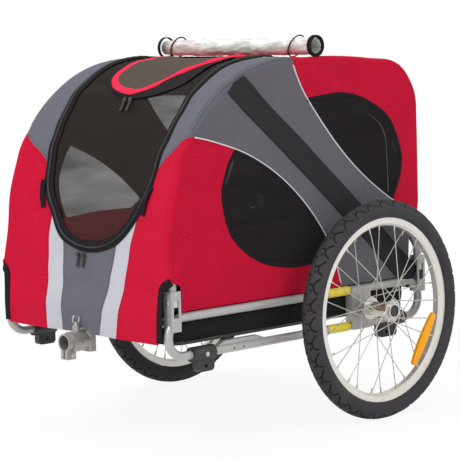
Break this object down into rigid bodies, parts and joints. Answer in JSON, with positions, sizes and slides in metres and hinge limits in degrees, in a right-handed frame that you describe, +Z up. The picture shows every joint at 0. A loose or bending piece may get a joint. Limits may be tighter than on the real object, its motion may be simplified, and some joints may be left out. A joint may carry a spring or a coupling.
{
  "type": "dog bicycle trailer",
  "caption": "Two-wheeled bicycle trailer with a folding fabric cabin for a dog, tube side rails, a front hitch receiver and spoked wheels.",
  "frame": {"origin": "on the ground, below the middle of the trailer's bounding box", "axes": "+Z up, -Y towards the bicycle (the hitch receiver's mouth), X across the trailer"},
  "size_m": [0.7684, 0.89, 0.8736],
  "materials": {
    "frame_metal": "grey powder coat",
    "bracket_metal": "grey powder coat",
    "block_metal": "bare alloy",
    "fastener_steel": "zinc plated",
    "spoke_steel": "polished wire",
    "cast_alloy": "cast alloy",
    "rim_alloy": "satin alloy",
    "tyre_rubber": "black rubber",
    "amber_plastic": "moulded reflector",
    "black_plastic": "moulded black",
    "yellow_sleeve": "plain sleeve",
    "black_cloth": "black webbing and coated cloth",
    "red_cloth": "woven red",
    "grey_cloth": "woven grey",
    "pale_strip": "pale reflective tape",
    "dark_mesh": "fine black mesh",
    "clear_film": "clear film"
  },
  "bodies": {
    "frame": {"side_loop_left": "frame_metal", "side_loop_right": "frame_metal", "cross_tubes": "frame_metal", "floor_rests": "frame_metal", "front_brackets": "bracket_metal", "rear_brackets": "bracket_metal", "axle_plates": "bracket_metal", "hoop_stop_blocks": "block_metal", "bracket_rivets": "fastener_steel", "pivot_pins": "fastener_steel", "hitch_pinch_bolt": "fastener_steel", "clamp_bolts": "fastener_steel", "stub_axles": "fastener_steel", "hitch_receiver": "cast_alloy", "front_clamps": "black_plastic", "rear_clamps": "black_plastic", "floor_board": "black_plastic", "rail_bands": "yellow_sleeve", "floor_tub": "black_cloth", "window_binding": "black_cloth", "door_straps": "black_cloth", "zip_pulls": "black_cloth", "side_bands": "black_cloth", "roll_bands": "black_cloth", "front_corner_panels": "red_cloth", "side_front_panel_left": "red_cloth", "side_front_panel_right": "red_cloth", "side_rear_panel_left": "red_cloth", "side_rear_panel_right": "red_cloth", "roof_rear_panel": "red_cloth", "rear_panel": "red_cloth", "rear_door": "red_cloth", "front_centre_panel": "grey_cloth", "roof_bands": "grey_cloth", "side_grey_panel_left": "grey_cloth", "side_grey_panel_right": "grey_cloth", "front_strips": "pale_strip", "front_mesh": "dark_mesh", "side_windows": "dark_mesh", "sunroof_flap": "dark_mesh", "rain_cover_roll": "clear_film"},
    "front_hoop_body": {"front_hoop": "frame_metal"},
    "rear_hoop_body": {"rear_hoop": "frame_metal"},
    "hitch_lock": {"lock_pin": "fastener_steel", "lock_ring": "fastener_steel"},
    "wheel_left": {"tyre_left": "tyre_rubber", "rim_left": "rim_alloy", "spokes_left": "spoke_steel", "hub_left": "cast_alloy", "bearings_left": "fastener_steel", "reflector_left": "amber_plastic"},
    "button_left": {"release_button_left": "black_plastic"},
    "wheel_right": {"tyre_right": "tyre_rubber", "rim_right": "rim_alloy", "spokes_right": "spoke_steel", "hub_right": "cast_alloy", "bearings_right": "fastener_steel", "reflector_right": "amber_plastic"},
    "button_right": {"release_button_right": "black_plastic"}
  },
  "joints": [
    {"name": "front_hoop_fold", "type": "hinge", "parent": "frame", "child": "front_hoop_body", "pos_m": [0, -0.3705, 0.34], "axis": [1, 0, 0], "range_deg": [-62, 0], "deforming": ["front_centre_panel", "front_strips", "front_corner_panels", "window_binding", "front_mesh", "roof_bands", "sunroof_flap", "roof_rear_panel", "rear_panel", "rear_door", "door_straps", "zip_pulls", "side_front_panel_left", "side_front_panel_right", "side_grey_panel_left", "side_grey_panel_right", "side_rear_panel_left", "side_rear_panel_right", "side_windows", "side_bands", "rain_cover_roll", "roll_bands"]},
    {"name": "rear_hoop_fold", "type": "hinge", "parent": "frame", "child": "rear_hoop_body", "pos_m": [0, 0.4095, 0.34], "axis": [1, 0, 0], "range_deg": [0, 70]},
    {"name": "wheel_right_spin", "type": "hinge", "parent": "frame", "child": "wheel_right", "pos_m": [0.345, 0.196, 0.249], "axis": [1, 0, 0], "continuous": true},
    {"name": "wheel_left_spin", "type": "hinge", "parent": "frame", "child": "wheel_left", "pos_m": [-0.345, 0.196, 0.249], "axis": [1, 0, 0], "continuous": true},
    {"name": "button_right_press", "type": "slide", "parent": "frame", "child": "button_right", "axis": [-1, 0, 0], "range_m": [0, 0.004], "stiffness_N_per_m": 400},
    {"name": "button_left_press", "type": "slide", "parent": "frame", "child": "button_left", "axis": [1, 0, 0], "range_m": [0, 0.004], "stiffness_N_per_m": 400},
    {"name": "hitch_lock_pull", "type": "slide", "parent": "frame", "child": "hitch_lock", "axis": [0, 0, 1], "range_m": [0, 0.008], "stiffness_N_per_m": 300}
  ],
  "couplings": [
    {"joint": "rear_hoop_fold", "follows": "front_hoop_fold", "ratio": -1.129}
  ]
}
